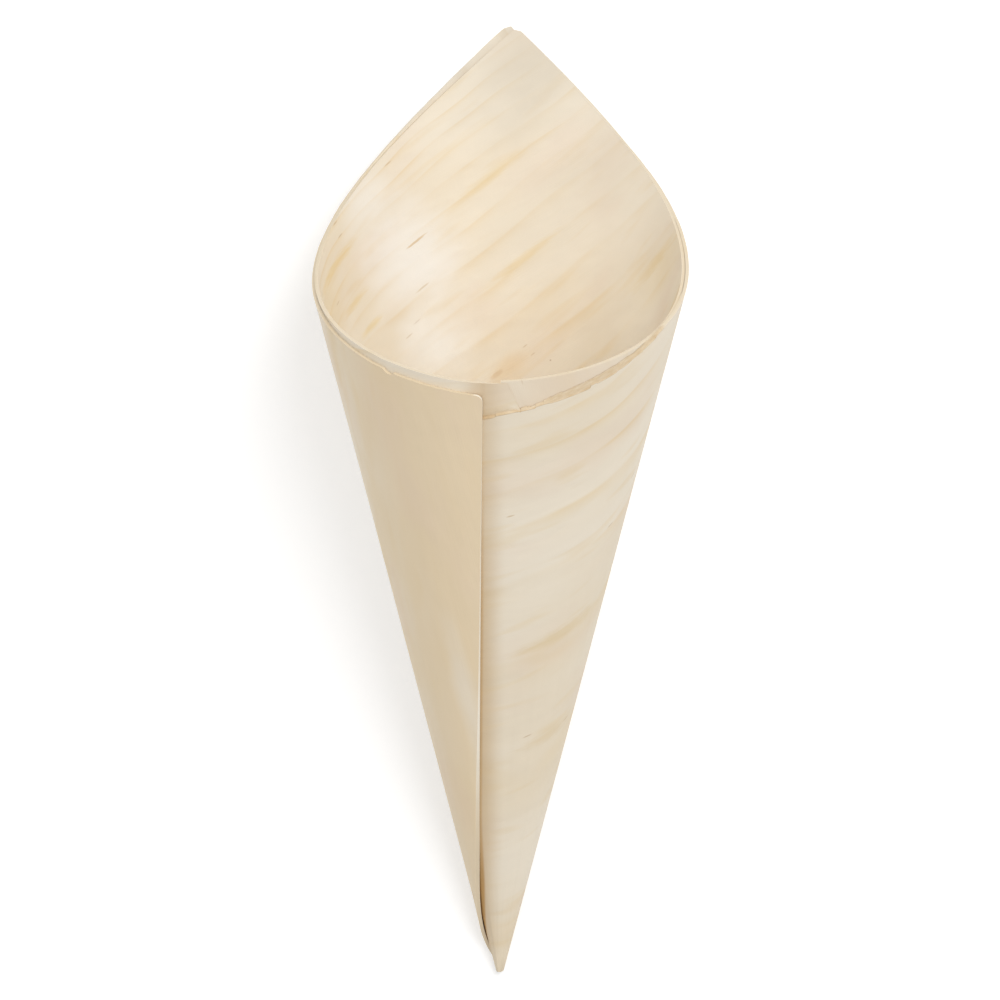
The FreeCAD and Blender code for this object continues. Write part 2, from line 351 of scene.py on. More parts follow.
@dataclass
class VeneerCone:
    """The rolled sheet: its sizes, its mesh and its place in the frame."""

    sheet: FlatSheet = FlatSheet()
    stations: RollStations = RollStations()
    half_angle: float = 14.3
    turn_gap: float = 0.00004
    seam_turn: float = 1.4
    rest_flat: float = 13.0
    rows_below: int = 16
    line_margin: float = 0.00005
    buckle: float = 0.00012
    least_radius: float = 0.00004
    foot_lift: float = 0.00022
    foot_lift_width: float = 0.0011
    foot_lift_rises: Span = (0.005, 0.009)
    foot_lift_falls: Span = (0.013, 0.026)
    foot_lift_angle: float = math.pi / 3
    floor_fade: Span = (0.02, 0.5)
    least_strip: float = 0.00005
    split_rise: float = 0.0034
    tear_fade: float = 0.002
    root_blend: float = 0.0001
    root_depths: Span = (-0.0008, 0.0002)
    ledge: float = 0.05
    fringe: float = 0.22
    slant_start: float = 0.2
    slant_rise: float = 0.7
    rows_above: tuple[float, ...] = (0.0, 0.05, 0.14, 0.3, 0.5, 0.7, 0.86, 1.0)
    rim_fibres: TornFibres = TornFibres(seed=5, run=0.0011, step=0.00002)
    upper_fibres: TornFibres = TornFibres(seed=11, run=0.0011, step=0.00009, drift=0.05)
    lower_fibres: TornFibres = TornFibres(seed=23, run=0.0021, step=0.00006, drift=-0.04)
    sharp_angle: float = 35.0

    @property
    def slope(self) -> float:
        """Half angle of the cone, in radians."""
        return math.radians(self.half_angle)

    @property
    def pitch(self) -> float:
        """Distance between one turn of the sheet and the next."""
        return self.sheet.thickness + self.turn_gap

    @property
    def rest_slope(self) -> float:
        """Angle between the axis and the flat on which the cone lies, in radians."""
        return math.atan(
            math.tan(self.slope) * math.cos(math.radians(self.rest_flat / 2))
        )

    def first_line(self) -> float:
        """Give the travel round the cone at which the first half turn starts."""
        start = math.atan2(self.sheet.point_clearance, self.sheet.half)
        return start / math.sin(self.slope)

    def wave(self, azimuths: np.ndarray, distances: np.ndarray) -> np.ndarray:
        """Give the gentle buckle of the wood, the same for every turn at one place.

        Args:
            azimuths: Azimuth of each spot, in radians.
            distances: Distance of each spot from the point of the cone.

        Returns:
            How far each spot stands out of the true cone.
        """
        share = np.clip(distances / self.sheet.far, 0.0, 1.3) ** 2
        shape = np.sin(3 * azimuths + 0.7) + 0.7 * np.sin(5 * azimuths + 2.1)
        shape = shape + 0.5 * np.sin(2 * azimuths - 60 * distances)
        clear_of_floor = smooth_step(1 + np.cos(azimuths), *self.floor_fade)
        return self.buckle * share * shape * clear_of_floor

    def lifted_foot(self, angles: np.ndarray, distances: np.ndarray) -> np.ndarray:
        """Give how far the outer flap stands off beside the foot of the cone.

        Args:
            angles: Angle of each spot in the flat sheet.
            distances: Distance of each spot from the point of the cone.

        Returns:
            The lift of each spot.
        """
        inland = distances * np.sin(angles) - self.sheet.point_clearance
        edge = np.exp(-np.abs(inland) / self.foot_lift_width)
        reach = smooth_step(distances, *self.foot_lift_rises)
        reach = reach * (1 - smooth_step(distances, *self.foot_lift_falls))
        return self.foot_lift * edge * reach * (angles < self.foot_lift_angle)

    def roll_up(
        self, angles: np.ndarray, distances: np.ndarray, depths: np.ndarray
    ) -> np.ndarray:
        """Carry spots of the flat sheet to their places on the standing cone.

        Args:
            angles: Angle of each spot in the flat sheet.
            distances: Distance of each spot from the point of the cone.
            depths: How far each spot lies below the outer face of the sheet.

        Returns:
            The places, with X, Y and Z along the last axis.
        """
        travel = angles / math.sin(self.slope)
        azimuths = math.radians(self.seam_turn) - travel
        half_turns, rest = np.divmod(travel - self.first_line(), math.pi)
        inward = half_turns / 2 + (1 - np.cos(rest)) / 4
        proud = self.pitch * (1 - inward) - depths + self.wave(azimuths, distances)
        proud = proud + self.lifted_foot(angles, distances)
        radius = distances * math.sin(self.slope) + proud * math.cos(self.slope)
        radius = np.maximum(radius, self.least_radius)
        height = distances * math.cos(self.slope) - proud * math.sin(self.slope)
        return np.stack(
            [radius * np.sin(azimuths), -radius * np.cos(azimuths), height], axis=-1
        )

    def edge_lines(
        self, angles: np.ndarray
    ) -> tuple[np.ndarray, np.ndarray, np.ndarray, np.ndarray]:
        """Measure, on each side line, where the sheet starts, tears and ends.

        Args:
            angles: The side lines.

        Returns:
            The near edge, the line below which the outer face is whole, the far edge, and
            how much of the stretch is torn.
        """
        sheet = self.sheet
        near = sheet.near_distance(angles)
        outline = sheet.outline_distance(angles) - sheet.worn_corners(angles)
        tear = sheet.tear_distance(angles)
        along = outline * np.cos(angles)
        start, _ = sheet.end_angles()

        far = outline + self.rim_fibres.offsets(outline * (angles - start))
        beside = np.clip(
            sheet.corner_round - (angles - start) * outline, 0.0, sheet.corner_round
        )
        drop = sheet.corner_round - np.sqrt(sheet.corner_round**2 - beside**2)
        far = np.maximum(far - drop, near + self.least_strip)
        up = outline * np.sin(angles)
        nick = np.exp(-(((up - sheet.nick_place) / sheet.nick_width) ** 4))
        nick = nick * (angles < sheet.flap_angle)
        far = far - sheet.nick_depth * nick

        tear_along = tear * np.cos(angles)
        torn = smooth_step(tear_along, sheet.split_end, sheet.split_end + self.split_rise)
        fade = sheet.splinter_tip - self.tear_fade
        torn = torn * (1 - smooth_step(tear_along, fade, sheet.splinter_tip))
        torn = torn * (np.sin(angles) * tear > sheet.far - 2 * sheet.splinter_depth)
        blend = self.root_blend
        gone = torn * smooth_step(along, sheet.root - blend, sheet.root + blend)
        bevel = sheet.bevel(tear_along)
        far = far + gone * (sheet.tear_shift + bevel / 2 + self.upper_fibres.offsets(along))
        whole = tear - bevel / 2 + self.lower_fibres.offsets(tear_along)
        line = np.where(torn > 0, np.minimum(whole, far - sheet.band), far - sheet.band)
        line = np.maximum(line, near + (far - near) * 0.5)
        return near, line, far, torn

    def past_root(self, angles: np.ndarray) -> tuple[np.ndarray, np.ndarray]:
        """Mark the side lines beside the split, and those where the splinter is gone.

        Args:
            angles: The side lines.

        Returns:
            How near each line is to the root, and how far past it, from 0 to 1.
        """
        sheet = self.sheet
        tear_along = sheet.tear_distance(angles) * np.cos(angles)
        low, high = self.root_depths
        near_root = smooth_step(tear_along, sheet.split_end, sheet.root)
        gone = smooth_step(tear_along, sheet.root + low, sheet.root + high)
        return near_root[:, None], gone[:, None]

    def outer_face(
        self, angles: np.ndarray, shares: np.ndarray, torn: np.ndarray
    ) -> tuple[np.ndarray, np.ndarray]:
        """Shape the outer face above the tear.

        Args:
            angles: The side lines.
            shares: How far each row lies from the tear, 0, to the far edge, 1.
            torn: How much of the stretch is torn, on each side line.

        Returns:
            For each side line and row, how deep the face lies, and how rough it is from
            0 to 1.
        """
        sheet = self.sheet
        near_root, gone = self.past_root(angles)
        ledge = smooth_step(shares, 0.0, self.ledge)[None, :]
        split = sheet.split_depth + (sheet.break_depth - sheet.split_depth) * near_root
        slant = self.slant_start * ledge + self.slant_rise * shares[None, :]
        slant = sheet.thickness * slant * (shares[None, :] > 0)
        depths = torn[:, None] * (ledge * split * (1 - gone) + slant * gone)
        beside = 1 - smooth_step(shares, self.ledge, self.fringe)[None, :]
        return depths, torn[:, None] * (gone + (1 - gone) * beside)

    def laid_down(self, places: np.ndarray) -> np.ndarray:
        """Lay the standing cone on its flat, with its peak where the frame has it.

        Args:
            places: Places on the standing cone.

        Returns:
            The same places in the frame.
        """
        fall = self.rest_slope - math.pi / 2
        turned = places @ np.array(Matrix.Rotation(fall, 3, "X")).T
        proud = self.pitch / 2
        turned[:, 2] += proud * math.sin(self.rest_slope) / math.sin(self.slope)
        turned[:, 2] = np.maximum(turned[:, 2], 0.0)
        low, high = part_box(NODE)
        middle = (turned[:, 0].min() + turned[:, 0].max()) / 2
        turned[:, 0] += (low.x + high.x) / 2 - middle
        turned[:, 1] += self.point().y
        return turned

    def point(self) -> Vector:
        """Find the cone's point, on its axis.

        Returns:
            Its place in the frame.
        """
        _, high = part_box(NODE)
        reach = math.hypot(self.sheet.half, self.sheet.far)
        behind = reach * math.cos(self.slope - self.rest_slope)
        return Vector((0.0, high.y - behind, self.pitch / 2))

    def build(self) -> bpy.types.Object:
        """Make the rolled sheet as one closed mesh, with its flat places kept on it.

        Returns:
            The finished object.
        """
        angles = self.stations.angles(self.sheet, self.slope)
        near, line, far, torn = self.edge_lines(angles)
        below = np.linspace(0.0, 1.0, self.rows_below)
        above = np.array(self.rows_above)
        lower = near[:, None] + (line - self.line_margin - near)[:, None] * below[None, :]
        upper = line[:, None] + (far - line)[:, None] * above[None, :]
        distances = np.concatenate([lower, upper], axis=1)
        depths, rough = np.zeros_like(distances), np.zeros_like(distances)
        tear = len(below)
        depths[:, tear:], rough[:, tear:] = self.outer_face(angles, above, torn)
        wide = np.broadcast_to(angles[:, None], distances.shape)
        thickness = np.full_like(distances, self.sheet.thickness)
        slanted = distances.copy()
        slanted[:, 0] += self.sheet.slanted_cut(angles, distances[:, 1] - distances[:, 0])

        places, spots = [], []
        for face, reach, depth in (
            (Face.OUTER, slanted, depths),
            (Face.INNER, distances, thickness),
        ):
            places.append(self.roll_up(wide, reach, depth).reshape(-1, 3))
            flat = [reach * np.cos(wide), reach * np.sin(wide)]
            flat.append(np.full_like(reach, face.value * MILLIMETRE))
            spots.append(np.stack(flat, axis=-1).reshape(-1, 3) / MILLIMETRE)
        points = self.laid_down(np.concatenate(places))
        mesh = self.mesh(points, self.quads(distances.shape))
        marks = np.concatenate([rough.ravel(), np.zeros(rough.size)])
        for name, kind, entry, values in (
            (FLAT_SPOT, "FLOAT_VECTOR", "vector", np.concatenate(spots)),
            (TORN, "FLOAT", "value", marks),
        ):
            kept = mesh.attributes.new(name, kind, "POINT")
            kept.data.foreach_set(entry, values.astype(np.float32).ravel())
        cone = bpy.data.objects.new("rolled_veneer_cone", mesh)
        bpy.context.scene.collection.objects.link(cone)
        log.info("rolled veneer cone: %d faces", len(mesh.polygons))
        return cone

    def mesh(self, points: np.ndarray, faces: list[list[int]]) -> bpy.types.Mesh:
        """Make a smooth mesh whose tight edges stay sharp.

        Args:
            points: Its points.
            faces: The corners of each face.

        Returns:
            The mesh.
        """
        made = bpy.data.meshes.new("rolled_veneer")
        made.from_pydata(points.tolist(), [], faces)
        made.update()
        made.shade_smooth()
        made.set_sharp_from_angle(angle=math.radians(self.sharp_angle))
        return made

    @staticmethod
    def quads(shape: tuple[int, int]) -> list[list[int]]:
        """Join the points of both faces, and close the sheet's four edges.

        Args:
            shape: Number of side lines and of rows.

        Returns:
            The corners of each face, all turned outwards.
        """
        lines, rows = shape
        outer = np.arange(lines * rows).reshape(shape)
        inner = outer + lines * rows
        a, b = outer[:-1, :-1], outer[:-1, 1:]
        c, d = outer[1:, 1:], outer[1:, :-1]
        faces = [np.stack([a, b, c, d], axis=-1).reshape(-1, 4)]
        a, b = inner[:-1, :-1], inner[1:, :-1]
        c, d = inner[1:, 1:], inner[:-1, 1:]
        faces.append(np.stack([a, b, c, d], axis=-1).reshape(-1, 4))
        rims = (
            (outer[::-1, -1], inner[::-1, -1]),
            (outer[:, 0], inner[:, 0]),
            (outer[0, ::-1], inner[0, ::-1]),
            (outer[-1, :], inner[-1, :]),
        )
        for top, bottom in rims:
            strip = [top[:-1], top[1:], bottom[1:], bottom[:-1]]
            faces.append(np.stack(strip, axis=-1))
        return np.concatenate(faces).tolist()


Number = Union["Shade", float]


class Shade:
    """A number that varies over a surface, on which Python's operators add Math nodes."""

    def __init__(self, tree: "ShaderTree", socket: bpy.types.NodeSocket) -> None:
        """Wrap one output socket of a tree."""
        self.tree = tree
        self.socket = socket

    def _math(self, operation: str, *values: Number) -> "Shade":
        """Add one Math node.

        Args:
            operation: What it works out.
            values: What goes into it, in order.

        Returns:
            The result.
        """
        node = self.tree.node(
            "ShaderNodeMath", {"operation": operation}, dict(enumerate(values))
        )
        return Shade(self.tree, node.outputs[0])

    def __add__(self, other: Number) -> "Shade":
        """Add two values."""
        return self._math("ADD", self, other)

    def __radd__(self, other: float) -> "Shade":
        """Add this value to a number."""
        return self._math("ADD", other, self)

    def __sub__(self, other: Number) -> "Shade":
        """Take a value off this one."""
        return self._math("SUBTRACT", self, other)

    def __rsub__(self, other: float) -> "Shade":
        """Take this value off a number."""
        return self._math("SUBTRACT", other, self)

    def __mul__(self, other: Number) -> "Shade":
        """Multiply two values."""
        return self._math("MULTIPLY", self, other)

    def __rmul__(self, other: float) -> "Shade":
        """Multiply a number by this value."""
        return self._math("MULTIPLY", other, self)

    def __truediv__(self, other: Number) -> "Shade":
        """Divide this value by another."""
        return self._math("DIVIDE", self, other)

    def __rtruediv__(self, other: float) -> "Shade":
        """Divide a number by this value."""
        return self._math("DIVIDE", other, self)

    def __pow__(self, other: Number) -> "Shade":
        """Raise this value to a power."""
        return self._math("POWER", self, other)

    def __rpow__(self, other: float) -> "Shade":
        """Raise a number to this value's power."""
        return self._math("POWER", other, self)

    def fraction(self) -> "Shade":
        """Keep what is left after the whole number."""
        return self._math("FRACT", self)

    def absolute(self) -> "Shade":
        """Drop the sign."""
        return self._math("ABSOLUTE", self)

    def angle_from(self, along: Number) -> "Shade":
        """Give the angle whose rise is this value and whose run is another."""
        return self._math("ARCTAN2", self, along)

    def arcsine(self) -> "Shade":
        """Give the angle with this sine."""
        return self._math("ARCSINE", self)

    def root(self) -> "Shade":
        """Give the square root."""
        return self._math("SQRT", self)

    def step(self, low: float, high: float) -> "Shade":
        """Rise smoothly from 0 at low to 1 at high.

        Args:
            low: Where the rise starts.
            high: Where it ends.

        Returns:
            The share risen.
        """
        settings = {"interpolation_type": "SMOOTHSTEP"}
        node = self.tree.node(
            "ShaderNodeMapRange",
            settings,
            {"Value": self, "From Min": low, "From Max": high},
        )
        return Shade(self.tree, node.outputs["Result"])


Link = Union[Shade, bpy.types.NodeSocket, float, Sequence[float]]


class ShaderTree:
    """The node tree of one material."""

    def __init__(self, tree: bpy.types.NodeTree) -> None:
        """Empty a node tree and work on it."""
        self.tree = tree
        self.tree.nodes.clear()

    def node(
        self,
        kind: str,
        settings: Optional[Mapping[str, object]] = None,
        sockets: Optional[Mapping[Union[str, int], Link]] = None,
    ) -> bpy.types.Node:
        """Add one node.

        Args:
            kind: The type of the node.
            settings: Its settings, which are set before its sockets.
            sockets: What each input holds or is linked to, by name or number.

        Returns:
            The new node.
        """
        node = self.tree.nodes.new(kind)
        for name, value in (settings or {}).items():
            setattr(node, name, value)
        for name, value in (sockets or {}).items():
            entry = node.inputs[name]
            if isinstance(value, Shade):
                value = value.socket
            if isinstance(value, bpy.types.NodeSocket):
                self.tree.links.new(value, entry)
            else:
                entry.default_value = value
        return node

    def attribute(self, name: str) -> bpy.types.Node:
        """Read what the mesh keeps under one name."""
        settings = {"attribute_name": name, "attribute_type": "GEOMETRY"}
        return self.node("ShaderNodeAttribute", settings)

    def noise(self, along: Number, across: Number, lift: float, detail: float) -> Shade:
        """Give a soft random pattern from 0 to 1.

        Args:
            along: Place along the fibres, in the pattern's own lengths.
            across: Place across the fibres, in the pattern's own lengths.
            lift: Which slice of the pattern to take.
            detail: How many finer layers the pattern has.

        Returns:
            The pattern, about one half on average.
        """
        place = self.node("ShaderNodeCombineXYZ", {}, {0: along, 1: across, 2: lift})
        sockets = {"Vector": place.outputs[0], "Scale": 1.0, "Detail": detail}
        pattern = self.node("ShaderNodeTexNoise", {}, sockets)
        return Shade(self, pattern.outputs[0])

    def cells(self, along: Number, across: Number) -> tuple[Shade, Shade]:
        """Scatter spots at random.

        Args:
            along: Place along the fibres, in cell lengths.
            across: Place across the fibres, in cell lengths.

        Returns:
            The distance from the nearest spot, and that spot's own random number.
        """
        place = self.node("ShaderNodeCombineXYZ", {}, {0: along, 1: across, 2: 0.0})
        settings = {"voronoi_dimensions": "2D", "feature": "F1"}
        sockets = {"Vector": place.outputs[0], "Scale": 1.0}
        pattern = self.node("ShaderNodeTexVoronoi", settings, sockets)
        parts = self.node("ShaderNodeSeparateColor", {}, {0: pattern.outputs["Color"]})
        return Shade(self, pattern.outputs["Distance"]), Shade(self, parts.outputs[0])

    def mix(self, share: Number, under: Link, over: Colour) -> bpy.types.NodeSocket:
        """Lay a plain colour over another.

        Args:
            share: How much of the upper colour shows, from 0 to 1.
            under: The lower colour.
            over: The upper colour, as a screen shows it.

        Returns:
            The blended colour's socket.
        """
        settings = {"data_type": "RGBA", "clamp_factor": True}
        sockets = {0: share, 6: under, 7: screen_colour(*over)}
        return self.node("ShaderNodeMix", settings, sockets).outputs[2]


def screen_colour(red: int, green: int, blue: int) -> tuple[float, float, float, float]:
    """Turn a colour as a screen shows it into the renderer's linear light.

    Args:
        red: Red, from 0 to 255.
        green: Green, from 0 to 255.
        blue: Blue, from 0 to 255.

    Returns:
        The colour, with full cover last.
    """
    linear = []
    for part in (red / 255, green / 255, blue / 255):
        linear.append(part / 12.92 if part <= 0.04045 else ((part + 0.055) / 1.055) ** 2.4)
    return (*linear, 1.0)


@dataclass(frozen=True)
class Spot:
    """One of the wood's own stains or flecks, or a patch of painted highlight or painted shade,
    following the fibres and placed on the flat sheet in millimetres.
    """

    right: float
    up: float
    half_length: float
    half_width: float
    colour: Colour
    strength: float
    face: Face = Face.INNER
    softness: float = 0.6


# The wood's own stains, flecks and growth bands, together with broad patches of painted
# highlight, painted light and painted shade.
STAINS_AND_PAINTED_LIGHT = (
    Spot(-66.8, 68.0, 5.2, 3.0, (224, 194, 148), 0.50, softness=0.9),
    Spot(-64.6, 68.4, 1.7, 0.6, (206, 170, 120), 0.40, softness=0.8),
    Spot(-97.0, 57.5, 14.0, 5.0, (232, 210, 164), 0.35, softness=0.9),
    Spot(-44.0, 99.0, 9.0, 7.0, (230, 208, 166), 0.45, softness=0.9),
    # Painted highlight: broad pale patches on the inside wall, standing for its satin sheen.
    Spot(-66.0, 91.0, 13.0, 13.0, (246, 244, 241), 0.62, softness=1.0),
    Spot(-60.5, 78.5, 9.0, 8.0, (248, 246, 242), 0.60, softness=1.0),
    Spot(-66.0, 103.0, 10.0, 7.0, (244, 241, 236), 0.50, softness=1.0),
    # Painted shade: broad greyer patches on the inside wall.
    Spot(-83.0, 81.0, 14.0, 12.0, (224, 214, 196), 0.32, softness=1.0),
    Spot(-99.0, 80.0, 14.0, 10.0, (218, 205, 184), 0.36, softness=1.0),
    # Painted light: a pale patch over the tan patch near the inner end, lightening that part of
    # the inside wall.
    Spot(-90.0, 57.0, 12.0, 8.0, (248, 240, 224), 0.50, softness=1.0),
    Spot(-52.2, 101.7, 10.5, 1.1, (228, 201, 144), 0.65, softness=0.9),
    Spot(-52.3, 94.3, 6.0, 0.9, (228, 203, 150), 0.60, softness=0.9),
    Spot(-53.0, 89.1, 4.5, 0.8, (230, 206, 152), 0.60, softness=0.9),
    Spot(-80.2, 78.5, 9.0, 1.0, (228, 204, 156), 0.55, softness=0.9),
    Spot(-86.0, 91.3, 9.0, 1.1, (226, 204, 160), 0.50, softness=0.9),
    Spot(-97.5, 60.0, 8.5, 1.5, (228, 202, 150), 0.50, softness=0.9),
    Spot(11.0, 60.3, 11.0, 1.5, (222, 200, 158), 0.60, Face.OUTER, 0.9),
    Spot(9.0, 42.7, 8.0, 1.5, (222, 200, 160), 0.55, Face.OUTER, 0.9),
    # Painted shade: greyer inner faces at the peak, on both ends of the sheet.
    Spot(-101.0, 100.0, 20.0, 15.0, (214, 203, 184), 0.75, softness=1.0),
    Spot(100.0, 96.0, 16.0, 22.0, (208, 198, 182), 0.75, softness=0.9),
    Spot(-69.1, 92.4, 2.5, 0.26, (208, 174, 118), 0.62),
    Spot(-64.8, 86.5, 1.9, 0.20, (206, 184, 146), 0.50),
    Spot(-57.9, 82.8, 1.0, 0.16, (200, 178, 144), 0.40),
    Spot(-70.9, 68.5, 0.6, 0.14, (196, 166, 122), 0.45),
    Spot(-71.0, 66.7, 0.6, 0.14, (196, 166, 122), 0.40),
    Spot(-72.4, 64.0, 0.22, 0.20, (164, 132, 92), 0.50),
    Spot(2.6, 82.1, 0.95, 0.16, (190, 156, 108), 0.50, Face.OUTER),
    Spot(-0.9, 98.9, 1.5, 0.45, (206, 160, 102), 0.70, Face.OUTER),
    # Painted shade: darker and pinkish beside the flap's edge, where the outer face is split at
    # the rim.
    Spot(0.5, 103.0, 5.5, 3.6, (222, 198, 168), 0.40, Face.OUTER),
    Spot(-102.0, 14.0, 14.0, 16.0, (229, 211, 187), 0.80, Face.OUTER, 0.8),
    # Painted light: a pale patch on the flap beside the seam, standing for light on a flatter
    # facet of the flap.
    Spot(50.0, 5.0, 18.0, 3.0, (238, 230, 216), 0.45, Face.OUTER, 0.9),
)


@dataclass(frozen=True)
class SheetSpot:
    """Where the shaded spot lies on the flat sheet, in millimetres, and on which face."""

    right: Shade
    up: Shade
    along: Shade
    across: Shade
    distance: Shade
    outer: Shade
    inner: Shade
    cut: Shade
    ragged: Shade


@dataclass(frozen=True)
class PineVeneer:
    """Raw pine veneer: growth rings, fibres, stains, torn wood and the glued seam's line, with
    painted highlights, painted shade and a painted shadow beside the seam.
    """

    cone: VeneerCone
    grain_angle: float = 14.0
    lining_angle: float = 7.0
    lining_middle: float = -75.0
    # Half width above which a spot counts as broad; many of the broad ones are patches of
    # painted highlight and painted shade.
    broad_stain_or_light: float = 2.0
    outer_skin: Span = (0.02, 0.10)
    inner_skin: Span = (0.90, 0.98)
    ring_rate: float = 38.8
    ring_start: float = 2.35
    ring_middle: float = 48.0
    ring_offset: float = 0.10
    roughness: float = 0.55
    specular: float = 0.35
    bump_strength: float = 0.8
    bump_reach: float = 0.0006
    early_wood: Colour = (236, 225, 206)
    warm_wood: Colour = (230, 216, 192)
    low_wood: Colour = (230, 208, 172)
    late_wood: Colour = (224, 196, 142)
    resin: Colour = (176, 138, 84)
    blush_wood: Colour = (228, 205, 184)
    torn_wood: Colour = (205, 180, 142)
    cut_wood: Colour = (216, 200, 172)
    # Painted highlight: the flap's cut edge along the seam, lighter where it catches the light.
    seam_edge_highlight: Colour = (243, 236, 221)
    # Painted shadow: a soft tan band on the layer beside the seam, where the flap shades it.
    seam_shadow_wood: Colour = (206, 180, 142)
    # The glued seam's line, together with painted shade in the gap between the flap's edge and
    # the layer beneath, darkest at the foot of the cone.
    glue_and_gap_shade: Colour = (186, 144, 86)

    def material(self) -> bpy.types.Material:
        """Build the finish.

        Returns:
            The new material.
        """
        made = bpy.data.materials.new("pine_veneer")
        made.use_nodes = True
        tree = ShaderTree(made.node_tree)
        at = self.sheet_spot(tree)
        fibre = tree.noise(at.along * 0.12, at.across * 5.0, 3.0, 3.0)
        rough_wood = tree.noise(at.along * 0.7, at.across * 3.2, 8.0, 3.0)
        relief = {
            "Strength": self.bump_strength,
            "Distance": self.bump_reach,
            "Height": self.height(tree, at, fibre, rough_wood),
        }
        looks = {
            "Base Color": self.colour(tree, at, rough_wood),
            "Roughness": self.roughness + 0.14 * (fibre - 0.5) + 0.2 * at.ragged,
            "Normal": tree.node("ShaderNodeBump", {}, relief).outputs[0],
            "Specular IOR Level": self.specular,
        }
        shader = tree.node("ShaderNodeBsdfPrincipled", {}, looks)
        tree.node("ShaderNodeOutputMaterial", {}, {"Surface": shader.outputs[0]})
        log.info("pine veneer: %d nodes", len(made.node_tree.nodes))
        return made

    def sheet_spot(self, tree: ShaderTree) -> SheetSpot:
        """Read where the shaded spot lies.

        Args:
            tree: The tree to build in.

        Returns:
            Its place on the flat sheet, and its face.
        """
        flat = tree.attribute(FLAT_SPOT).outputs["Vector"]
        parts = tree.node("ShaderNodeSeparateXYZ", {}, {0: flat})
        right, up, through = (Shade(tree, parts.outputs[number]) for number in range(3))
        torn = Shade(tree, tree.attribute(TORN).outputs["Fac"])
        turn = math.radians(self.grain_angle)
        outer = 1 - through.step(*self.outer_skin)
        inner = through.step(*self.inner_skin)
        return SheetSpot(
            right=right,
            up=up,
            along=right * math.cos(turn) + up * math.sin(turn),
            across=up * math.cos(turn) - right * math.sin(turn),
            distance=(right * right + up * up).root(),
            outer=outer,
            inner=inner,
            cut=(1 - outer - inner) * (1 - torn),
            ragged=torn * (1 - inner),
        )

    def height(
        self, tree: ShaderTree, at: SheetSpot, fibre: Shade, rough_wood: Shade
    ) -> Shade:
        """Raise the fibres, the buckle of the wood and the torn face.

        Args:
            tree: The tree to build in.
            at: The shaded spot.
            fibre: The pattern of the fibres.
            rough_wood: The pattern of torn wood.

        Returns:
            The height, as a share of the relief's reach.
        """
        ripple = tree.noise(at.along * 0.10, at.across * 0.22, 4.0, 2.0)
        round_cone = at.up.angle_from(at.right)
        buckle = tree.noise(round_cone * 14.0, at.distance * 0.03, 2.0, 1.0)
        height = fibre * 0.04 + ripple * 0.55 + buckle * 0.60
        return height + rough_wood * at.ragged * 0.15

    def colour(
        self, tree: ShaderTree, at: SheetSpot, rough_wood: Shade
    ) -> bpy.types.NodeSocket:
        """Lay stains, painted highlights, painted shade, cut edges, torn wood, a painted shadow
        beside the seam and the glued seam's line over the clean wood.

        Args:
            tree: The tree to build in.
            at: The shaded spot.
            rough_wood: The pattern of torn wood.

        Returns:
            The colour's socket.
        """
        turn = math.radians(self.grain_angle)
        skew = math.tan(turn) - math.tan(math.radians(self.lining_angle))
        lining = at.inner * (at.right - self.lining_middle) * (skew * math.cos(turn))
        colour = self.wood_colour(tree, at.along, at.across + lining)
        broad = tree.noise(at.along * 0.10, at.across * 0.17, 6.0, 2.0) - 0.5
        sharp = tree.noise(at.along * 0.40, at.across * 2.2, 6.0, 2.0) - 0.5
        # Real stains and marks of the wood, and broad patches of painted highlight and painted
        # shade.
        for stain_or_painted_light in STAINS_AND_PAINTED_LIGHT:
            face = at.outer if stain_or_painted_light.face is Face.OUTER else at.inner
            wobble = broad if stain_or_painted_light.half_width > self.broad_stain_or_light else sharp
            share = self.stain_or_painted_light(stain_or_painted_light, at.right, at.up, wobble) * face
            colour = tree.mix(share, colour, stain_or_painted_light.colour)

        colour = tree.mix(at.cut * 0.75, colour, self.cut_wood)
        # Painted highlight: the flap's cut edge along the seam is lighter, where it catches the
        # light.
        seam_edge_highlight = at.cut * (1 - at.up.step(4.0, 5.0)) * at.right.step(22.0, 48.0)
        colour = tree.mix(seam_edge_highlight, colour, self.seam_edge_highlight)
        shown = at.ragged * (0.72 + 1.0 * (rough_wood - 0.5))
        colour = tree.mix(shown, colour, self.torn_wood)
        beside = self.beside_seam(at)
        low = 1 - at.distance.step(55.0, 95.0)
        # Painted shadow: a soft tan band beside the seam, where the flap shades the layer
        # beneath, stronger towards the point.
        seam_shadow = (1 - beside.step(0.2, 4.0)) * (0.5 + 0.3 * low) * at.outer
        colour = tree.mix(seam_shadow, colour, self.seam_shadow_wood)
        # The glued seam's line and painted shade in the gap beside the flap, stronger towards
        # the point and darkest at the foot.
        foot = 1 - at.distance.step(16.0, 30.0)
        strength = 0.10 + 0.45 * low + 0.4 * foot
        line = (1 - (beside - foot * 0.5).step(0.10, 0.60)) * strength
        return tree.mix(line * at.outer, colour, self.glue_and_gap_shade)

